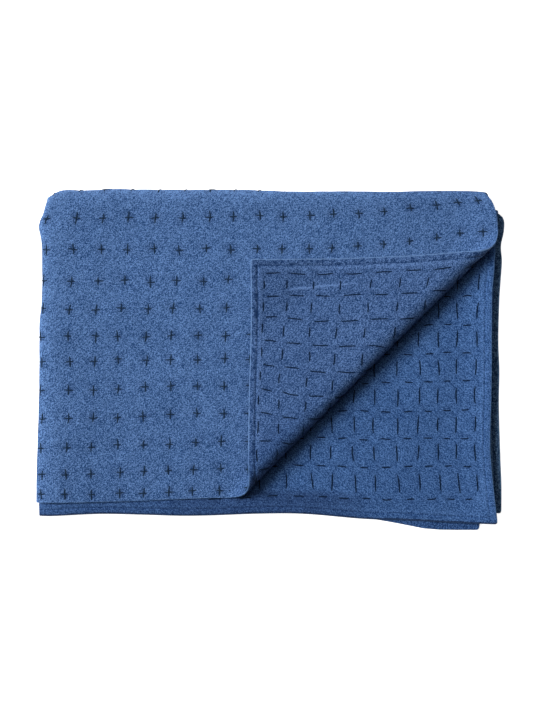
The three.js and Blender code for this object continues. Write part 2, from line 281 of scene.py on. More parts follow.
def loft(across, down):
    """How much the folded edges and slow waves raise the stack."""
    swell = SWELL["share"] * np.sin(across / SWELL["length"] + SWELL["phase"])
    swell = swell * np.cos(2 * down / SWELL["length"])
    for wave in WAVES:
        turn = math.radians(wave["turn"])
        along = across * math.cos(turn) + down * math.sin(turn)
        swell = swell + wave["share"] * np.sin(2 * math.pi * along / wave["length"] + wave["phase"])
    folds = pillow(across, LEFT_PILLOW) + pillow(down, TOP_PILLOW)
    return 1 + np.minimum(folds, MOST_FULLNESS) + swell


def rounded_off(across, down):
    """The square corner in plan, rounded: each line at one distance from the nearer edge is an arc."""
    apart = across - down
    ease = np.maximum(CORNER_EASE - np.abs(apart), 0)
    radius = CORNER_RADIUS - np.minimum(across, down) + ease**2 / (4 * CORNER_EASE)
    inside = np.abs(apart) < radius
    angle = math.pi / 4 * (1 - apart / np.where(inside, radius, 1))
    return (
        np.where(inside, CORNER_RADIUS - radius * np.sin(angle), across),
        np.where(inside, CORNER_RADIUS - radius * np.cos(angle), down),
    )


def by_leaf(upper, outer, table, key, place):
    """A hem table's value for the leaf that each point is on."""
    leaves = {name: curve(table[key], table[name], place) for name in ("top", "second", "third", "under")}
    return np.where(
        upper,
        np.where(outer, leaves["top"], leaves["second"]),
        np.where(outer, leaves["under"], leaves["third"]),
    )


def middle(u, v):
    """The middle of the cloth at places on the flat quilt, in millimetres."""
    u, v = np.broadcast_arrays(np.asarray(u, float), np.asarray(v, float))
    crease_at = crease_place(u)
    upper, outer = u > 0, v > crease_at
    crease_in, crease_rise = half_turn(v - crease_at, CREASE_RADIUS, CREASE_RADIUS)
    fold_in, fold_rise = half_turn(u, FOLD_RADIUS + crease_rise, FOLD_RADIUS + CREASE_RADIUS)
    length = np.where(upper, UPPER_LENGTH, LOWER_LENGTH)
    width = np.where(outer, OUTER_WIDTH - crease_at, INNER_WIDTH + crease_at)
    share_across, share_down = fold_in / length, crease_in / width
    short_hem = by_leaf(upper, outer, SHORT_HEMS, "down", crease_in)
    long_hem = by_leaf(upper, outer, LONG_HEMS, "across", fold_in)
    crease_line = np.where(
        upper,
        curve(TOP_CREASE["across"], TOP_CREASE["upper"], fold_in),
        curve(TOP_CREASE["across"], TOP_CREASE["lower"], fold_in),
    )
    inset = curve(LEFT_FOLD["down"], LEFT_FOLD["inset"], crease_in)
    across = fold_in + (short_hem - length) * share_across**2 + inset * (1 - share_across) ** 2
    down = crease_in + crease_line * (1 - share_down) ** 2 + (long_hem - width) * share_down**2
    across, down = rounded_off(across, down)

    past = (across + down - ROLL_START) * math.sqrt(0.5)
    rolled = upper & outer & (past > 0)
    forward, lift = roll_section(np.maximum(past, 0))
    back = np.where(rolled, (forward - past) * math.sqrt(0.5), 0)
    across, down = across + back, down + back
    height = (FOLD_RADIUS + CREASE_RADIUS + fold_rise) * loft(across, down)
    springy = smooth(across, SPRINGY_HEM["from_across"], SPRINGY_HEM["to_across"])
    height = height + np.where(upper, SPRINGY_HEM["height"] * springy ** SPRINGY_HEM["power"], 0)
    past_under = down - curve(LONG_HEMS["across"], LONG_HEMS["under"], across)
    sagging = smooth(past_under, SAGGING_HEM["from"], SAGGING_HEM["to"])
    height = height * np.where(outer, 1, 1 - SAGGING_HEM["share"] * sagging)
    return np.stack([across, -down, PLY_HALF + height + np.where(rolled, lift, 0)], axis=-1)


SHORT_STEP = 0.05


def facing(u, v):
    """The direction of the face side, which is the outside of both folds."""
    step = SHORT_STEP
    along = middle(u + step, v) - middle(u - step, v)
    over = middle(u, v + step) - middle(u, v - step)
    normal = np.cross(over, along)
    return normal / np.linalg.norm(normal, axis=-1, keepdims=True)


def column_place(column, v):
    """How far from the left fold a column of stitches lies, at a place down the leaf."""
    row = COLUMNS[column]
    if v > 0:
        values = [row["crease"], row["upper"], row["lower"], row["hem"]]
        return UPPER_LENGTH - float(curve(COLUMN_PLACES, values, v))
    inner = row["inner"] - row["crease"]
    return UPPER_LENGTH - row["crease"] - inner * float(smooth(-v, 0, COLUMNS_SETTLE))


def row_distance(row, u):
    """How far from the long hem a row of stitches lies, at a place across the leaf."""
    values = [row[name] for name in ("fold", "left", "right", "hem")]
    return float(curve(ROW_PLACES, values, u))


def outer_row_place(row, u):
    """Where a row of the top leaf lies on the flat cloth."""
    return OUTER_WIDTH - row_distance(OUTER_ROWS[row], u)


def inner_row_place(row, u):
    """Where a row of the second leaf lies on the flat cloth. Rows count from its long hem."""
    if row == 0:
        return row_distance(INNER_FIRST_ROW, u) - INNER_WIDTH
    distance = INNER_SECOND_ROW + INNER_ROW_PITCH * (row - 1) - INNER_ROW_LEAN * (UPPER_LENGTH - u)
    return distance - INNER_WIDTH


def from_hem(u, v):
    """The distance to the nearest hem."""
    return np.minimum(
        np.minimum(UPPER_LENGTH - u, LOWER_LENGTH + u),
        np.minimum(OUTER_WIDTH - v, INNER_WIDTH + v),
    )


def crossing_grid():
    """Where the lines of stitches cross on the upper leaves, a little off by hand: columns, rows, (u, v)."""
    rng = np.random.default_rng(SEEDS["grid"])
    grid = np.empty((len(COLUMNS), len(OUTER_ROWS) + INNER_ROWS, 2))
    for column in range(len(COLUMNS)):
        nominal = column_place(column, 0)
        for row in range(len(OUTER_ROWS) + INNER_ROWS):
            if row < len(OUTER_ROWS):
                v = outer_row_place(row, nominal)
            else:
                v = inner_row_place(len(OUTER_ROWS) + INNER_ROWS - 1 - row, nominal)
            grid[column, row] = column_place(column, v), v
    return grid + rng.normal(0, HAND["grid"], grid.shape)


CROSSINGS = crossing_grid()
CROSSES = np.concatenate([CROSSINGS.reshape(-1, 2), CROSSINGS.reshape(-1, 2) * [-1, 1]])


def dash_ends():
    """The ends of the thread's dashes on the reverse of the upper leaves, where they can be seen."""
    rng = np.random.default_rng(SEEDS["dashes"])
    neighbours = [
        (CROSSINGS[:-1], CROSSINGS[1:], DASH_SHARE_ACROSS, 0),
        (CROSSINGS[:, :-1], CROSSINGS[:, 1:], DASH_SHARE_ALONG, FLAP_DASH_SLIP),
    ]
    ends = []
    for start, end, share, slip in neighbours:
        start, end = start.reshape(-1, 2), end.reshape(-1, 2)
        centre, half = (start + end) / 2, (end - start) / 2 * share
        longer = half * (1 + rng.normal(0, HAND["dash_length"], (len(half), 1)))
        half = longer + half[:, ::-1] * rng.normal(0, HAND["dash_lean"], half.shape)
        centre = centre + rng.normal(0, HAND["dash_slip"], centre.shape)
        past_roll = centre.sum(axis=1) > ROLL_START - DASHES_SEEN["before_roll"]
        past_cover = centre[:, 0] - centre[:, 1] > ROLL_START - DASHES_SEEN["under_roll"]
        on_flap = (centre[:, 1] > DASHES_SEEN["on_flap"]) & past_roll
        uncovered = (centre[:, 1] < DASHES_SEEN["on_second_leaf"]) & past_cover
        centre[:, 1] += np.where(on_flap, slip, 0)
        seen = on_flap | uncovered
        ends.append(np.stack([centre - half, centre + half], axis=1)[seen])
    return np.concatenate(ends)


DASHES = dash_ends()


def stitch_reach(u, v):
    """For each place: how near it is to a cross, and to a dash on the reverse, as bells from 0 to 1."""
    near_cross, puff = np.zeros(u.shape), np.zeros(u.shape)
    for cross_u, cross_v in CROSSES:
        squared = (u - cross_u) ** 2 + (v - cross_v) ** 2
        near_cross = np.maximum(near_cross, np.exp(-squared / (2 * DIMPLE["width"] ** 2)))
        puff = np.maximum(puff, np.exp(-squared / (2 * PUFF["width"] ** 2)))
    near_dash = np.zeros(u.shape)
    for (start_u, start_v), (end_u, end_v) in DASHES:
        run_u, run_v = end_u - start_u, end_v - start_v
        share = ((u - start_u) * run_u + (v - start_v) * run_v) / (run_u**2 + run_v**2)
        share = np.clip(share, 0, 1)
        squared = (u - start_u - share * run_u) ** 2 + (v - start_v - share * run_v) ** 2
        near_dash = np.maximum(near_dash, np.exp(-squared / (2 * FURROW["width"] ** 2)))
    return near_cross, puff, near_dash


def pressed_ridge(u, v):
    """How near a place is to the pressed ridge, from 0 to 1."""
    low, high, ease = PRESSED_RIDGE["to_v"], PRESSED_RIDGE["from_v"], PRESSED_RIDGE["ease"]
    reach = smooth(v, low, low + ease) * (1 - smooth(v, high - ease, high))
    line = PRESSED_RIDGE["u"] + PRESSED_RIDGE["slope"] * (high - v)
    return reach * bell(u - line, PRESSED_RIDGE["width"])


def painted_shade(u, v):
    """The share of painted shade on the reverse, round the roll's lower end and along the second leaf's long
    hem.
    """
    end = smooth(u + v, ROLL_END_SHADE["from"], ROLL_END_SHADE["full"])
    end = end * (1 - smooth(u + v, ROLL_END_SHADE["to"], ROLL_END_SHADE["clear"]))
    end = end * smooth(v - u, ROLL_END_SHADE["from_turn"], ROLL_END_SHADE["to_turn"])
    reach, ease = SECOND_LEAF_HEM_SHADE["reach"], SECOND_LEAF_HEM_SHADE["ease"]
    hem = np.interp(u, SECOND_LEAF_HEM_SHADE["across"], SECOND_LEAF_HEM_SHADE["share"])
    hem = hem * (1 - smooth(v + INNER_WIDTH, reach - ease, reach + ease))
    return np.where(v > 0, end, np.where(u > 0, hem, 0))


def relief(u, v):
    """How far the face and the reverse stand from the middle of the cloth, and how near a stitch is."""
    near_cross, puff, near_dash = stitch_reach(u, v)
    hem = from_hem(u, v)
    from_folds = np.minimum(np.abs(u), np.abs(v - crease_place(u)))
    open_part = smooth(from_folds, CLOSED_FOLD, OPEN_PART)
    slope = smooth(hem, HEM_WIDTH - HEM_SLOPE["before"], HEM_WIDTH + HEM_SLOPE["after"])
    turned = HEM_EXTRA * (1 - slope)
    for band in (GROOVE, RIDGE):
        turned = turned + band["height"] * bell(hem - band["place"], band["width"])
    upper = smooth(u, 0, QUILTED_FROM)
    sewn = PUFF["height"] * puff * (1 - near_dash) * open_part * upper - FURROW["depth"] * near_dash
    face = PLY_HALF - DIMPLE["depth"] * near_cross
    reverse = PLY_HALF + turned * open_part + sewn + PRESSED_RIDGE["height"] * pressed_ridge(u, v)
    edge = 1 - LOST_AT_EDGE * (1 - np.sqrt(np.clip(hem / HEM_EDGE, 0, 1)))
    return face * edge, reverse * edge, near_cross, near_dash


# The sheet: a grid of lines over the flat cloth, close together at the folds, the hems and the pressed ridge
HEM_STEPS = np.array([0, 0.35, 1.3, 4.5, 8.5, 11.2, 12.4, 13.3, 14.4, 16.4, 18.6])
FINE_STEP = 6.2
HIDDEN_STEP = 34
FOLD_STEP = 2.4
CREASE_STEP = 1.2
BESIDE_FOLD = {"reach": 70, "step": 7.5}
RIDGE_LINES = {"before": 5, "after": 13, "step": 2.2}
DRIFT_FADES = {"from": 30, "to": 300}
CORNER_TURN = 6.0


def spaced(start, end, step):
    """Even places from start to end, about one step apart."""
    return np.linspace(start, end, max(int(round(abs(end - start) / step)), 1) + 1)


def lines_across():
    """How far from the left fold the sheet's lines lie."""
    arc = (FOLD_RADIUS + CREASE_RADIUS) * math.pi / 2
    hem = HEM_STEPS[-1]
    beside = -BESIDE_FOLD["reach"]
    before, after = PRESSED_RIDGE["u"] - RIDGE_LINES["before"], PRESSED_RIDGE["u"] + RIDGE_LINES["after"]
    return np.concatenate(
        [
            HEM_STEPS - LOWER_LENGTH,
            spaced(hem - LOWER_LENGTH, beside, HIDDEN_STEP)[1:-1],
            spaced(beside, -arc, BESIDE_FOLD["step"])[:-1],
            spaced(-arc, arc, FOLD_STEP),
            spaced(arc, before, FINE_STEP)[1:-1],
            spaced(before, after, RIDGE_LINES["step"]),
            spaced(after, UPPER_LENGTH - hem, FINE_STEP)[1:-1],
            UPPER_LENGTH - HEM_STEPS[::-1],
        ]
    )


def lines_along():
    """How far from the crease the sheet's lines lie, which flat_grid turns into places on the cloth."""
    arc = CREASE_RADIUS * math.pi / 2
    hem = HEM_STEPS[-1]
    return np.concatenate(
        [
            HEM_STEPS - INNER_WIDTH,
            spaced(hem - INNER_WIDTH, -arc, FINE_STEP)[1:-1],
            spaced(-arc, arc, CREASE_STEP),
            spaced(arc, OUTER_WIDTH - hem, FINE_STEP)[1:-1],
            OUTER_WIDTH - HEM_STEPS[::-1],
        ]
    )


def flat_grid():
    """The flat places of the sheet's points. Lines near the crease follow its drift."""
    u, level = np.meshgrid(lines_across(), lines_along(), indexing="ij")
    near_crease = 1 - smooth(np.abs(level), DRIFT_FADES["from"], DRIFT_FADES["to"])
    return u, level + crease_place(u) * near_crease


def rounded_corners(u, v):
    """The sheet's four square corners, each eased to a quarter of a circle."""
    from_short = np.minimum(UPPER_LENGTH - u, LOWER_LENGTH + u)
    from_long = np.minimum(OUTER_WIDTH - v, INNER_WIDTH + v)
    into_short = np.maximum(CORNER_TURN - from_short, 0)
    into_long = np.maximum(CORNER_TURN - from_long, 0)
    reach = np.hypot(into_short, into_long)
    share = np.where(reach > 0, np.maximum(into_short, into_long) / np.where(reach > 0, reach, 1), 1)
    return u - np.sign(u) * into_short * (1 - share), v - np.sign(v) * into_long * (1 - share)


def plan_shift():
    """What puts the middle of the sheet's outline at the frame's origin."""
    points = middle(*flat_grid()).reshape(-1, 3)
    centre = (points.min(axis=0) + points.max(axis=0)) / 2
    return np.array([-centre[0], -centre[1], 0])


SHIFT = plan_shift()


def keep(mesh, name, kind, values):
    """Stores a value for each point, for the material."""
    attribute = mesh.attributes.new(name, kind, "POINT")
    key = "vector" if kind == "FLOAT_VECTOR" else "value"
    attribute.data.foreach_set(key, np.asarray(values, np.float32).ravel())


# How dark the cloth is beside a dash, next to how dark it is beside a cross
DASH_SHADE = 0.4


def quilt_sheet():
    """The quilt as one closed mesh: the face, the reverse and the rim between them."""
    u, v = flat_grid()
    eased = rounded_corners(u, v)
    centre, normal = middle(*eased) + SHIFT, facing(*eased)
    face_half, reverse_half, near_cross, near_dash = relief(u, v)
    face = centre + normal * face_half[..., None]
    reverse = centre - normal * reverse_half[..., None]
    points = np.concatenate([face.reshape(-1, 3), reverse.reshape(-1, 3)])
    points[:, 2] = np.maximum(points[:, 2], 0)

    count = u.size
    index = np.arange(count).reshape(u.shape)
    a, b = index[:-1, :-1].ravel(), index[1:, :-1].ravel()
    c, d = index[1:, 1:].ravel(), index[:-1, 1:].ravel()
    face_quads = np.stack([a, b, c, d], axis=1)
    reverse_quads = np.stack([d, c, b, a], axis=1) + count
    edge = np.concatenate([index[:-1, 0], index[-1, :-1], index[:0:-1, -1], index[0, :0:-1]])
    following = np.roll(edge, -1)
    rim = np.stack([following, edge, edge + count, following + count], axis=1)
    faces = np.concatenate([face_quads, reverse_quads, rim])

    mesh = bpy.data.meshes.new("quilt")
    mesh.from_pydata((points * MM).tolist(), [], faces.tolist())
    flat = np.stack([np.tile(u.ravel(), 2) * MM, np.tile(v.ravel(), 2) * MM, np.zeros(2 * count)], axis=1)
    keep(mesh, "cloth_place", "FLOAT_VECTOR", flat)
    keep(mesh, "reverse_side", "FLOAT", np.repeat([0.0, 1.0], count))
    keep(mesh, "from_hem", "FLOAT", np.tile(from_hem(u, v).ravel() * MM, 2))
    near_stitch = np.concatenate([near_cross.ravel(), near_dash.ravel() * DASH_SHADE])
    keep(mesh, "near_stitch", "FLOAT", near_stitch)
    # The pressed ridge's share, for the painted highlight on it
    keep(mesh, "on_ridge", "FLOAT", np.concatenate([np.zeros(count), pressed_ridge(u, v).ravel()]))
    # Painted shade on the reverse, round the roll's lower end and along the second leaf's long hem
    keep(mesh, "painted_shade", "FLOAT", np.concatenate([np.zeros(count), painted_shade(u, v).ravel()]))
    mesh.shade_smooth()
    mesh.update()
    sheet = bpy.data.objects.new("quilt", mesh)
    bpy.context.scene.collection.objects.link(sheet)
    return sheet


# Stitches: each is a short path over the cloth, whose ends dive into it
PATH_STEPS = 9


def stitch_paths(start, end, side, seed):
    """Paths over one side of the cloth between pairs of places, each a little bowed."""
    rng = np.random.default_rng(seed)
    share = np.linspace(0, 1, PATH_STEPS)[None, :, None]
    run = (end - start)[:, None, :]
    bow = rng.normal(0, HAND["bow"], (len(start), 1, 1)) * np.sin(math.pi * share)
    flat = start[:, None, :] + run * share + run[..., ::-1] * [1, -1] * bow
    u, v = flat[..., 0], flat[..., 1]
    face_half, reverse_half, _, _ = relief(u, v)
    arch = THREAD_ARCH["height"] * np.sin(math.pi * share[..., 0]) ** 0.5
    rise = THREAD * (arch - THREAD_ARCH["sunk"])
    half = (face_half if side > 0 else reverse_half) + rise
    points = middle(u, v) + SHIFT + facing(u, v) * (side * half)[..., None]
    points[..., 2] = np.maximum(points[..., 2], THREAD / 2 + FLOOR_GAP)
    return points


def face_stitches():
    """The crosses on the face, as far as the crease. The arms down the leaf are longer than those across."""
    rng = np.random.default_rng(SEEDS["crosses"])
    places = CROSSES[CROSSES[:, 1] > AT_CREASE["last"]]
    starts, ends = [], []
    for length, along in ((FACE_STITCH_ACROSS, False), (FACE_STITCH_ALONG, True)):
        half = length / 2 * (1 + rng.normal(0, HAND["cross_length"], len(places)))
        if along:
            half = half * (1 - NEAR_HEM["shorter"] * smooth(places[:, 0], NEAR_HEM["from"], UPPER_LENGTH))
            half = half * (1 - AT_CREASE["shorter"] * bell(places[:, 1], AT_CREASE["reach"]))
        lean = rng.normal(0, HAND["cross_lean"], len(places))
        reach = np.stack([half * np.cos(lean), half * np.sin(lean)], axis=1)
        reach = reach[:, ::-1] if along else reach
        slip = rng.normal(0, HAND["cross_slip"], places.shape)
        starts.append(places + slip - reach)
        ends.append(places + slip + reach)
    return stitch_paths(np.concatenate(starts), np.concatenate(ends), 1, SEEDS["cross_paths"])


def reverse_stitches():
    """The dashes on the reverse."""
    return stitch_paths(DASHES[:, 0], DASHES[:, 1], -1, SEEDS["dash_paths"])


def new_socket(tree, name, direction, kind):
    """A named input or output of a node group."""
    return tree.interface.new_socket(name, in_out=direction, socket_type="NodeSocket" + kind)


def stitch_nodes():
    """Turns paths into thread of an even thickness."""
    tree = bpy.data.node_groups.new("hand stitches", "GeometryNodeTree")
    new_socket(tree, "Geometry", "INPUT", "Geometry")
    new_socket(tree, "Thread radius", "INPUT", "Float")
    new_socket(tree, "Sides", "INPUT", "Int")
    new_socket(tree, "Thread", "INPUT", "Material")
    new_socket(tree, "Geometry", "OUTPUT", "Geometry")
    nodes, links = tree.nodes, tree.links
    start, end = nodes.new("NodeGroupInput"), nodes.new("NodeGroupOutput")
    to_curve = nodes.new("GeometryNodeMeshToCurve")
    profile = nodes.new("GeometryNodeCurvePrimitiveCircle")
    sweep = nodes.new("GeometryNodeCurveToMesh")
    sweep.inputs["Fill Caps"].default_value = True
    rounded = nodes.new("GeometryNodeSetShadeSmooth")
    realize = nodes.new("GeometryNodeRealizeInstances")
    paint = nodes.new("GeometryNodeSetMaterial")
    links.new(start.outputs["Geometry"], to_curve.inputs["Mesh"])
    links.new(start.outputs["Thread radius"], profile.inputs["Radius"])
    links.new(start.outputs["Sides"], profile.inputs["Resolution"])
    links.new(to_curve.outputs["Curve"], sweep.inputs["Curve"])
    links.new(profile.outputs["Curve"], sweep.inputs["Profile Curve"])
    links.new(sweep.outputs["Mesh"], rounded.inputs["Geometry"])
    links.new(rounded.outputs["Geometry"], realize.inputs["Geometry"])
    links.new(realize.outputs["Geometry"], paint.inputs["Geometry"])
    links.new(start.outputs["Thread"], paint.inputs["Material"])
    links.new(paint.outputs["Geometry"], end.inputs["Geometry"])
    return tree


def sewn(name, paths, tree, thread):
    """The stitches of one side as a plain mesh."""
    mesh = bpy.data.meshes.new(name + "_paths")
    first = np.arange(len(paths))[:, None] * PATH_STEPS + np.arange(PATH_STEPS - 1)
    edges = np.stack([first.ravel(), first.ravel() + 1], axis=1)
    mesh.from_pydata((paths.reshape(-1, 3) * MM).tolist(), edges.tolist(), [])
    carrier = bpy.data.objects.new(name + "_paths", mesh)
    bpy.context.scene.collection.objects.link(carrier)
    modifier = carrier.modifiers.new("stitches", "NODES")
    modifier.node_group = tree
    given = {"Thread radius": THREAD * MM / 2, "Sides": THREAD_SIDES, "Thread": thread}
    for item in tree.interface.items_tree:
        if item.in_out == "INPUT" and item.name in given:
            modifier[item.identifier] = given[item.name]
    depsgraph = bpy.context.evaluated_depsgraph_get()
    result = bpy.data.meshes.new_from_object(carrier.evaluated_get(depsgraph))
    result.name = name
    carrier.modifiers.remove(modifier)
    bpy.data.objects.remove(carrier)
    result.materials.clear()
    result.materials.append(thread)
    stitches = bpy.data.objects.new(name, result)
    bpy.context.scene.collection.objects.link(stitches)
    return stitches


# Layers of noise over the cloth, finer as the scale grows. A stretch below 1 draws them out that way
LAYERS = {
    "speckle": {"scale": 700, "contrast": 2.6},
    "warp": {"scale": 520, "stretch": (1, 0.16, 1), "contrast": 0.7},
    "weft": {"scale": 520, "stretch": (0.16, 1, 1), "contrast": 0.9},
    "twill_wander": {"scale": 40, "contrast": 5 * MM},
    "patches": {"scale": 13, "detail": 3.0, "contrast": 0.36},
    "edge_wear_and_highlight": {"scale": 110, "detail": 2.0, "contrast": 2.6},
    "broken_seam": {"scale": 28, "detail": 1.0, "contrast": 2.5},
    "puckers": {"scale": 100, "detail": 1.0, "contrast": 5.0},
    "crinkle": {"scale": 75, "detail": 2.0, "contrast": 1.0},
    "rumple": {"scale": 22, "detail": 1.0, "contrast": 3.0},
}

# The weave: single thick yarns, a plain crossing of warp and weft, and faint slanting lines over them
SLUBS = {"scale": 660, "contrast": 1.8}
WEAVE = {"pitch": 1.15 * MM, "tone": 0.25}
TWILL = {"pitch": 8.7 * MM, "slant": 1.15, "tone": 0.11}
TONE_IN_HEIGHT = 0.5

# Marks on the cloth: paler near the folds, painted shade further down the leaves, a pale edge of wear and
# painted highlight, painted shade along the sewn groove with a painted highlight beside it, and the puckers:
# how far from the hem or the folds they lie, in metres, and how strong they are
PALER_NEAR_FOLD = {"reach": 0.028, "share": 0.30}
PALER_NEAR_CREASE = {"reach": 0.010, "share": 0.85}
SHADE_FURTHER_DOWN = -0.22
EDGE_WEAR_AND_HIGHLIGHT = {"reach": 2.7 * MM, "ease": 1.4 * MM}
SEAM_SHADE = {"place": GROOVE["place"] * MM, "width": 1.0 * MM, "share": 0.8}
RIDGE_HIGHLIGHT = {"place": 18.9 * MM, "width": 3.6 * MM, "share": -0.5}
PUCKERS_FROM = 0.15

# How much each mark moves the dye between deep and pale: painted shade in the sewn groove and the puckers, a
# painted highlight on the pressed ridge. And how far its tone spreads on each side
SHADE_AND_HIGHLIGHT_MARKS = {"seam_shade_and_highlight": -0.7, "puckers": -1.0, "ridge": 1.1}
SPREAD = {"face": 0.80, "face_per_metre": -0.17, "reverse": 0.82, "second_leaf": -0.20}
MIDDLE_TONE = 0.355
SEWN_ON_SECOND_LEAF = -0.65
WEAR_AND_HIGHLIGHT_SHARE = {"sewn": 0.7, "plain": 0.15}
SOFT_RELIEF = {"strength": 0.6, "distance": 1.6 * MM, "puckers": 0.6}
YARN_RELIEF = {"strength": 0.35, "distance": 0.35 * MM}

# Colours of the dye, and the tints of the parts that are darker. The pale edge's colour is wear and painted
# highlight. The tints of the third leaf, of the second leaf's long hem edge, of the patches round the roll's
# end and along the second leaf's hem, and beside the stitches are painted shade
WHITE = (1, 1, 1, 1)
DEEP_INDIGO = (0.010, 0.043, 0.142, 1)
PALE_INDIGO = (0.152, 0.288, 0.590, 1)
PLAIN_INDIGO = (0.058, 0.127, 0.291, 1)
WEAR_AND_HIGHLIGHT_INDIGO = (0.17, 0.32, 0.60, 1)
HEM_EDGE_SHADE_REACH = 4.0 * MM
REVERSE_TINT = (0.76, 0.745, 0.765, 1)
INNER_TINT = (0.75, 0.85, 0.92, 1)
THIRD_LEAF_SHADE = (0.52, 0.62, 0.72, 1)
UNDER_TINT = (1.0, 0.95, 0.78, 1)
HEM_EDGE_SHADE = (0.25, 0.28, 0.33, 1)
PAINTED_SHADE_TINT = (0.46, 0.52, 0.60, 1)
STITCH_SHADE = (0.72, 0.72, 0.75, 1)
DARK_THREAD = (0.0045, 0.014, 0.036, 1)
WASHED_THREAD = (0.013, 0.030, 0.060, 1)
COTTON = {"roughness": 0.9, "specular": 0.15}
THREAD_SPECULAR = 0.05


class Shades:
    """Adds nodes to a shader tree, linking sockets and setting plain numbers."""

    def __init__(self, tree):
        self.tree = tree

    def add(self, kind, values=(), **settings):
        made = self.tree.nodes.new("ShaderNode" + kind)
        for key, value in settings.items():
            setattr(made, key, value)
        for key, value in dict(values).items():
            if isinstance(value, bpy.types.NodeSocket):
                self.tree.links.new(value, made.inputs[key])
            else:
                made.inputs[key].default_value = value
        return made

    def math(self, operation, a, b=0.0, c=0.0):
        return self.add("Math", {0: a, 1: b, 2: c}, operation=operation).outputs[0]

    def attribute(self, name, output="Fac"):
        return self.add("Attribute", attribute_name=name).outputs[output]

    def layer(self, name, place):
        return self.noise(place, **LAYERS[name])

    def noise(self, place, scale, stretch=(1, 1, 1), detail=0.0, contrast=1.0):
        """Noise about zero, over places stretched along the cloth."""
        stretched = self.add("Mapping", {"Vector": place, "Scale": stretch}).outputs["Vector"]
        made = self.add("TexNoise", {"Vector": stretched, "Scale": scale, "Detail": detail})
        return self.math("MULTIPLY_ADD", made.outputs["Fac"], contrast, -0.5 * contrast)

    def mix(self, share, a, b, blend="MIX"):
        made = self.add("Mix", data_type="RGBA", blend_type=blend, clamp_factor=True)
        for socket, value in zip((made.inputs[0], made.inputs[6], made.inputs[7]), (share, a, b)):
            if isinstance(value, bpy.types.NodeSocket):
                self.tree.links.new(value, socket)
            else:
                socket.default_value = value
        return made.outputs[2]


def effect(name, inputs, outputs):
    """An empty shader node group with these sockets."""
    tree = bpy.data.node_groups.new(name, "ShaderNodeTree")
    for socket, kind in inputs.items():
        new_socket(tree, socket, "INPUT", kind)
    for socket, kind in outputs.items():
        new_socket(tree, socket, "OUTPUT", kind)
    return tree, tree.nodes.new("NodeGroupInput").outputs, tree.nodes.new("NodeGroupOutput").inputs


def woven_threads():
    """The tone and height of a plain weave with uneven yarn and faint slanting lines."""
    inputs, outputs = {"Place": "Vector"}, {"Tone": "Float", "Height": "Float"}
    tree, given, wanted = effect("woven threads", inputs, outputs)
    shades = Shades(tree)
    place = given["Place"]

    def ripple(distance, pitch):
        return shades.math("SINE", shades.math("MULTIPLY", distance, 2 * math.pi / pitch))

    slubs = shades.add("TexVoronoi", {"Vector": place, "Scale": SLUBS["scale"]}).outputs["Color"]
    slubs = shades.math("MULTIPLY_ADD", slubs, SLUBS["contrast"], -SLUBS["contrast"] / 2)
    speckle = shades.math("ADD", slubs, shades.layer("speckle", place))
    yarn = shades.math("ADD", shades.layer("warp", place), shades.layer("weft", place))
    split = shades.add("SeparateXYZ", {"Vector": place}).outputs
    across, along = ripple(split["X"], WEAVE["pitch"]), ripple(split["Y"], WEAVE["pitch"])
    crossing = shades.math("MULTIPLY", across, along)
    slant = shades.math("MULTIPLY_ADD", split["Y"], TWILL["slant"], split["X"])
    slant = shades.math("ADD", slant, shades.layer("twill_wander", place))
    tone = shades.math("ADD", yarn, speckle)
    tone = shades.math("MULTIPLY_ADD", ripple(slant, TWILL["pitch"]), TWILL["tone"], tone)
    shades.tree.links.new(shades.math("MULTIPLY_ADD", crossing, WEAVE["tone"], tone), wanted["Tone"])
    shades.tree.links.new(shades.math("MULTIPLY_ADD", tone, TONE_IN_HEIGHT, crossing), wanted["Height"])
    return tree


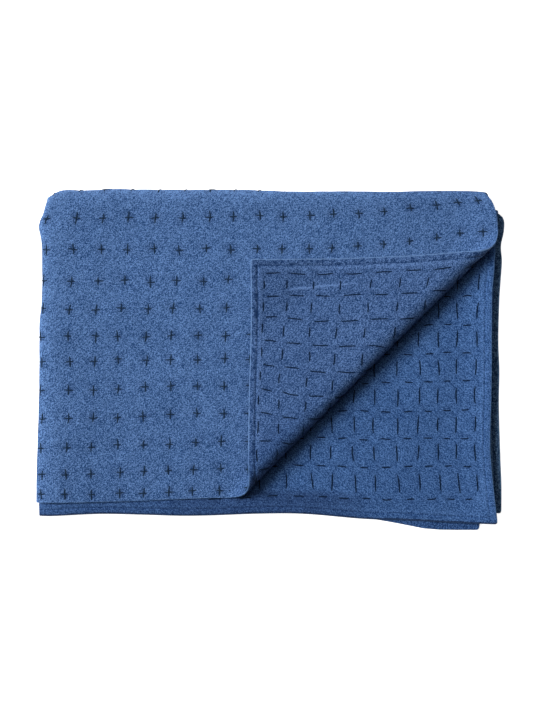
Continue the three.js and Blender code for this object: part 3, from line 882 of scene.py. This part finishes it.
def wear_and_painted_shade():
    """Shares for the dye: slow patches, paler folds and painted shade further down, the pale edge of wear and
    painted highlight, the sewn line's painted shade and highlight, and its puckers.
    """
    inputs = {"Place": "Vector", "From hem": "Float"}
    outputs = {"Patches": "Float", "Edge": "Float", "Seam": "Float", "Puckers": "Float"}
    tree, given, wanted = effect("wear and painted shade", inputs, outputs)
    shades = Shades(tree)
    place, hem = given["Place"], given["From hem"]

    def fading(distance, wear_and_shade):
        left = shades.math("EXPONENT", shades.math("DIVIDE", distance, -wear_and_shade["reach"]))
        return shades.math("MULTIPLY", left, wear_and_shade["share"])

    def line(mark):
        apart = shades.math("DIVIDE", shades.math("SUBTRACT", hem, mark["place"]), mark["width"])
        return shades.math("EXPONENT", shades.math("MULTIPLY", shades.math("MULTIPLY", apart, apart), -1.0))

    split = shades.add("SeparateXYZ", {"Vector": place}).outputs
    from_fold = shades.math("ABSOLUTE", split["X"])
    from_crease = shades.math("ABSOLUTE", split["Y"])
    patches = shades.math("ADD", shades.layer("patches", place), fading(from_fold, PALER_NEAR_FOLD))
    patches = shades.math("ADD", patches, fading(from_crease, PALER_NEAR_CREASE))
    # Painted shade: darker further down the leaves, away from the crease
    far_down = shades.math("POWER", from_crease, 2.0)
    patches = shades.math("MULTIPLY_ADD", far_down, SHADE_FURTHER_DOWN, patches)

    # The pale edge along the hems: wear, and a painted highlight
    edge = shades.math("DIVIDE", shades.math("SUBTRACT", EDGE_WEAR_AND_HIGHLIGHT["reach"], hem), EDGE_WEAR_AND_HIGHLIGHT["ease"])
    edge = shades.math("ADD", edge, shades.layer("edge_wear_and_highlight", place))
    edge = shades.math("MINIMUM", shades.math("MAXIMUM", edge, 0.0), 1.0)

    # Painted shade along the sewn groove, and a painted highlight beside it
    broken = shades.math("ADD", SEAM_SHADE["share"], shades.layer("broken_seam", place))
    seam_shade_and_highlight = shades.math("MULTIPLY", line(SEAM_SHADE), broken)
    seam_shade_and_highlight = shades.math("MULTIPLY_ADD", line(RIDGE_HIGHLIGHT), RIDGE_HIGHLIGHT["share"], seam_shade_and_highlight)
    band = shades.math("LESS_THAN", hem, SEAM_SHADE["place"])
    gathered = shades.math("SUBTRACT", shades.layer("puckers", place), PUCKERS_FROM)
    puckers = shades.math("MULTIPLY", band, shades.math("MAXIMUM", gathered, 0.0))
    shades.tree.links.new(patches, wanted["Patches"])
    shades.tree.links.new(edge, wanted["Edge"])
    shades.tree.links.new(seam_shade_and_highlight, wanted["Seam"])
    shades.tree.links.new(puckers, wanted["Puckers"])
    return tree


def material_of(name, colour, roughness, specular):
    """A plain material, and the shader that its own nodes feed."""
    material = bpy.data.materials.new(name)
    material.use_nodes = True
    surface = material.node_tree.nodes["Principled BSDF"]
    surface.inputs["Base Color"].default_value = colour
    surface.inputs["Roughness"].default_value = roughness
    surface.inputs["Specular IOR Level"].default_value = specular
    return material, surface


def bumped(shades, height, depth, normal=None):
    """A normal bent by this height, over an earlier one where there is one."""
    values = {"Height": height, "Strength": depth["strength"], "Distance": depth["distance"]}
    if normal is not None:
        values["Normal"] = normal
    return shades.add("Bump", values).outputs["Normal"]


def indigo_cotton():
    """The cloth: deep and pale dye mixed by its tone, and tinted by side and leaf, with painted shade and
    highlight in places.
    """
    material, surface = material_of("indigo cotton", PLAIN_INDIGO, **COTTON)
    tree = material.node_tree
    shades = Shades(tree)
    place = shades.attribute("cloth_place", "Vector")
    weave = shades.add("Group", node_tree=woven_threads())
    tree.links.new(place, weave.inputs["Place"])
    # Wear, and painted shade and highlight, as shares for the dye
    wear_and_shade = shades.add("Group", node_tree=wear_and_painted_shade())
    tree.links.new(place, wear_and_shade.inputs["Place"])
    tree.links.new(shades.attribute("from_hem"), wear_and_shade.inputs["From hem"])
    reverse = shades.attribute("reverse_side")
    split = shades.add("SeparateXYZ", {"Vector": place}).outputs
    inner = shades.math("LESS_THAN", split["Y"], 0.0)
    lower = shades.math("LESS_THAN", split["X"], 0.0)
    sewn_side = shades.math("MULTIPLY_ADD", inner, SEWN_ON_SECOND_LEAF, 1.0)
    sewn_side = shades.math("MULTIPLY", reverse, sewn_side)
    seam_shade_and_highlight = shades.math("MULTIPLY", wear_and_shade.outputs["Seam"], sewn_side)
    puckers = shades.math("MULTIPLY", wear_and_shade.outputs["Puckers"], sewn_side)
    tone = shades.math("ADD", weave.outputs["Tone"], wear_and_shade.outputs["Patches"])
    # Painted shade in the sewn groove and the puckers, and a painted highlight on the pressed ridge
    tone = shades.math("MULTIPLY_ADD", seam_shade_and_highlight, SHADE_AND_HIGHLIGHT_MARKS["seam_shade_and_highlight"], tone)
    tone = shades.math("MULTIPLY_ADD", puckers, SHADE_AND_HIGHLIGHT_MARKS["puckers"], tone)
    tone = shades.math("MULTIPLY_ADD", shades.attribute("on_ridge"), SHADE_AND_HIGHLIGHT_MARKS["ridge"], tone)
    on_face = shades.math("MULTIPLY_ADD", split["X"], SPREAD["face_per_metre"], SPREAD["face"])
    on_reverse = shades.math("MULTIPLY_ADD", inner, SPREAD["second_leaf"], SPREAD["reverse"])
    spread = shades.math("SUBTRACT", on_reverse, on_face)
    spread = shades.math("MULTIPLY_ADD", reverse, spread, on_face)
    dyed = shades.mix(shades.math("MULTIPLY_ADD", tone, spread, MIDDLE_TONE), DEEP_INDIGO, PALE_INDIGO)
    # The pale edge: wear, with a painted highlight along the hem's edge
    wear_and_highlight = shades.math("MULTIPLY_ADD", sewn_side, WEAR_AND_HIGHLIGHT_SHARE["sewn"], WEAR_AND_HIGHLIGHT_SHARE["plain"])
    worn_and_lit = shades.mix(shades.math("MULTIPLY", wear_and_shade.outputs["Edge"], wear_and_highlight), dyed, WEAR_AND_HIGHLIGHT_INDIGO)

    # Painted shade: a dark line along the second leaf's long hem edge
    from_long_hem = shades.math("ADD", split["Y"], INNER_WIDTH * MM)
    hem_edge_shade = shades.math("MULTIPLY", shades.math("LESS_THAN", from_long_hem, HEM_EDGE_SHADE_REACH), inner)
    side = shades.mix(reverse, WHITE, shades.mix(inner, REVERSE_TINT, INNER_TINT))
    # The third leaf's tint is painted shade under the second leaf; the lowest leaf's is a greyer tint
    side = shades.mix(lower, side, shades.mix(inner, UNDER_TINT, THIRD_LEAF_SHADE))
    # Painted shade round the roll's lower end and along the second leaf's long hem
    side = shades.mix(shades.attribute("painted_shade"), side, PAINTED_SHADE_TINT)
    # Painted shade along the second leaf's long hem edge, on its reverse
    side = shades.mix(shades.math("MULTIPLY", hem_edge_shade, reverse), side, HEM_EDGE_SHADE)
    sunk = shades.mix(shades.attribute("near_stitch"), WHITE, STITCH_SHADE)
    tinted = shades.mix(1, worn_and_lit, shades.mix(1, side, sunk, "MULTIPLY"), "MULTIPLY")
    tree.links.new(tinted, surface.inputs["Base Color"])

    rumple = shades.math("MULTIPLY_ADD", puckers, SOFT_RELIEF["puckers"], shades.layer("rumple", place))
    rumple = shades.math("ADD", shades.layer("crinkle", place), rumple)
    normal = bumped(shades, rumple, SOFT_RELIEF)
    normal = bumped(shades, weave.outputs["Height"], YARN_RELIEF, normal)
    tree.links.new(normal, surface.inputs["Normal"])
    return material


def cotton_thread(name, colour):
    return material_of(name, colour, COTTON["roughness"], THREAD_SPECULAR)[0]


# The setting
FLOOR_HALF = 20.0
FLOOR_DROP = 0.5 * MM
FLOOR = {"colour": (0.9, 0.9, 0.9, 1), "roughness": 0.8, "specular": 0.15}
FLOOR_GLOW = {"seen": 0.8, "always": 0.1}
WORLD_GLOW = {"seen": 1.0, "always": 0.03}
LIGHTS = {
    "key": {"turn": 163, "height_angle": 46, "distance": 10.0, "size": 4.6, "power": 1270},
    "overhead": {"turn": 75, "height_angle": 65, "distance": 2.6, "size": 1.2, "power": 11},
}


def glow_into(tree, socket, glow):
    """A glow that is stronger to the camera than to the quilt."""
    shades = Shades(tree)
    seen = shades.add("LightPath").outputs["Is Camera Ray"]
    tree.links.new(shades.math("MULTIPLY_ADD", seen, glow["seen"], glow["always"]), socket)


def floor():
    """A pale plane, seen white, a little below the quilt."""
    material, surface = material_of("pale floor", **FLOOR)
    surface.inputs["Emission Color"].default_value = WHITE
    glow_into(material.node_tree, surface.inputs["Emission Strength"], FLOOR_GLOW)
    half = FLOOR_HALF
    corners = [(x, y, -FLOOR_DROP) for x, y in ((-half, -half), (half, -half), (half, half), (-half, half))]
    mesh = bpy.data.meshes.new("floor")
    mesh.from_pydata(corners, [], [(0, 1, 2, 3)])
    mesh.materials.append(material)
    ground = bpy.data.objects.new("floor", mesh)
    bpy.context.scene.collection.objects.link(ground)


def soft_light(name, turn, height_angle, distance, size, power):
    """A square light that looks at the quilt from a compass turn, counted from +X, and a height."""
    turn, height_angle = math.radians(turn), math.radians(height_angle)
    level = distance * math.cos(height_angle)
    place = Vector((level * math.cos(turn), level * math.sin(turn), distance * math.sin(height_angle)))
    light = bpy.data.lights.new(name, "AREA")
    light.shape = "SQUARE"
    light.size = size
    light.energy = power
    lamp = bpy.data.objects.new(name, light)
    lamp.location = place
    lamp.rotation_euler = (-place).to_track_quat("-Z", "Y").to_euler()
    bpy.context.scene.collection.objects.link(lamp)


def studio():
    """A world that the camera sees as white, and two soft lights."""
    world = bpy.data.worlds.new("studio")
    world.use_nodes = True
    background = world.node_tree.nodes["Background"]
    background.inputs["Color"].default_value = WHITE
    glow_into(world.node_tree, background.inputs["Strength"], WORLD_GLOW)
    bpy.context.scene.world = world
    for name, light in LIGHTS.items():
        soft_light(name, **light)


# The photograph's frame is 533 by 711 pixels, seen from straight above, at this scale at the quilt's height
PIXEL = 1.94 * MM
FRAME_WIDTH = 533
FRAME_HEIGHT = 711
MIDDLE_PIXEL = (270.9, 360.0)
SENSOR_HEIGHT = 24
CAMERA_HEIGHT = 3.4
QUILT_HEIGHT = 9 * MM


def camera():
    """A camera straight above, a little off the middle, as in the photograph."""
    lens = bpy.data.cameras.new("camera")
    lens.sensor_fit = "VERTICAL"
    lens.sensor_height = SENSOR_HEIGHT
    lens.lens = lens.sensor_height * (CAMERA_HEIGHT - QUILT_HEIGHT) / (FRAME_HEIGHT * PIXEL)
    eye = bpy.data.objects.new("camera", lens)
    x = (FRAME_WIDTH / 2 - MIDDLE_PIXEL[0]) * PIXEL
    y = (MIDDLE_PIXEL[1] - FRAME_HEIGHT / 2) * PIXEL
    eye.location = (x, y, CAMERA_HEIGHT)
    bpy.context.scene.collection.objects.link(eye)
    bpy.context.scene.camera = eye


cotton = indigo_cotton()
dark_thread = cotton_thread("dark thread", DARK_THREAD)
washed_thread = cotton_thread("washed thread", WASHED_THREAD)
quilt = quilt_sheet()
quilt.data.materials.append(cotton)
sewing = stitch_nodes()
face_sewing = sewn("face_stitches", face_stitches(), sewing, washed_thread)
reverse_sewing = sewn("reverse_stitches", reverse_stitches(), sewing, dark_thread)

for piece in (quilt, face_sewing, reverse_sewing):
    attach(piece, "root")
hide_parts("quilt_cloth")

floor()
studio()
camera()
bpy.context.scene.view_settings.view_transform = "Standard"
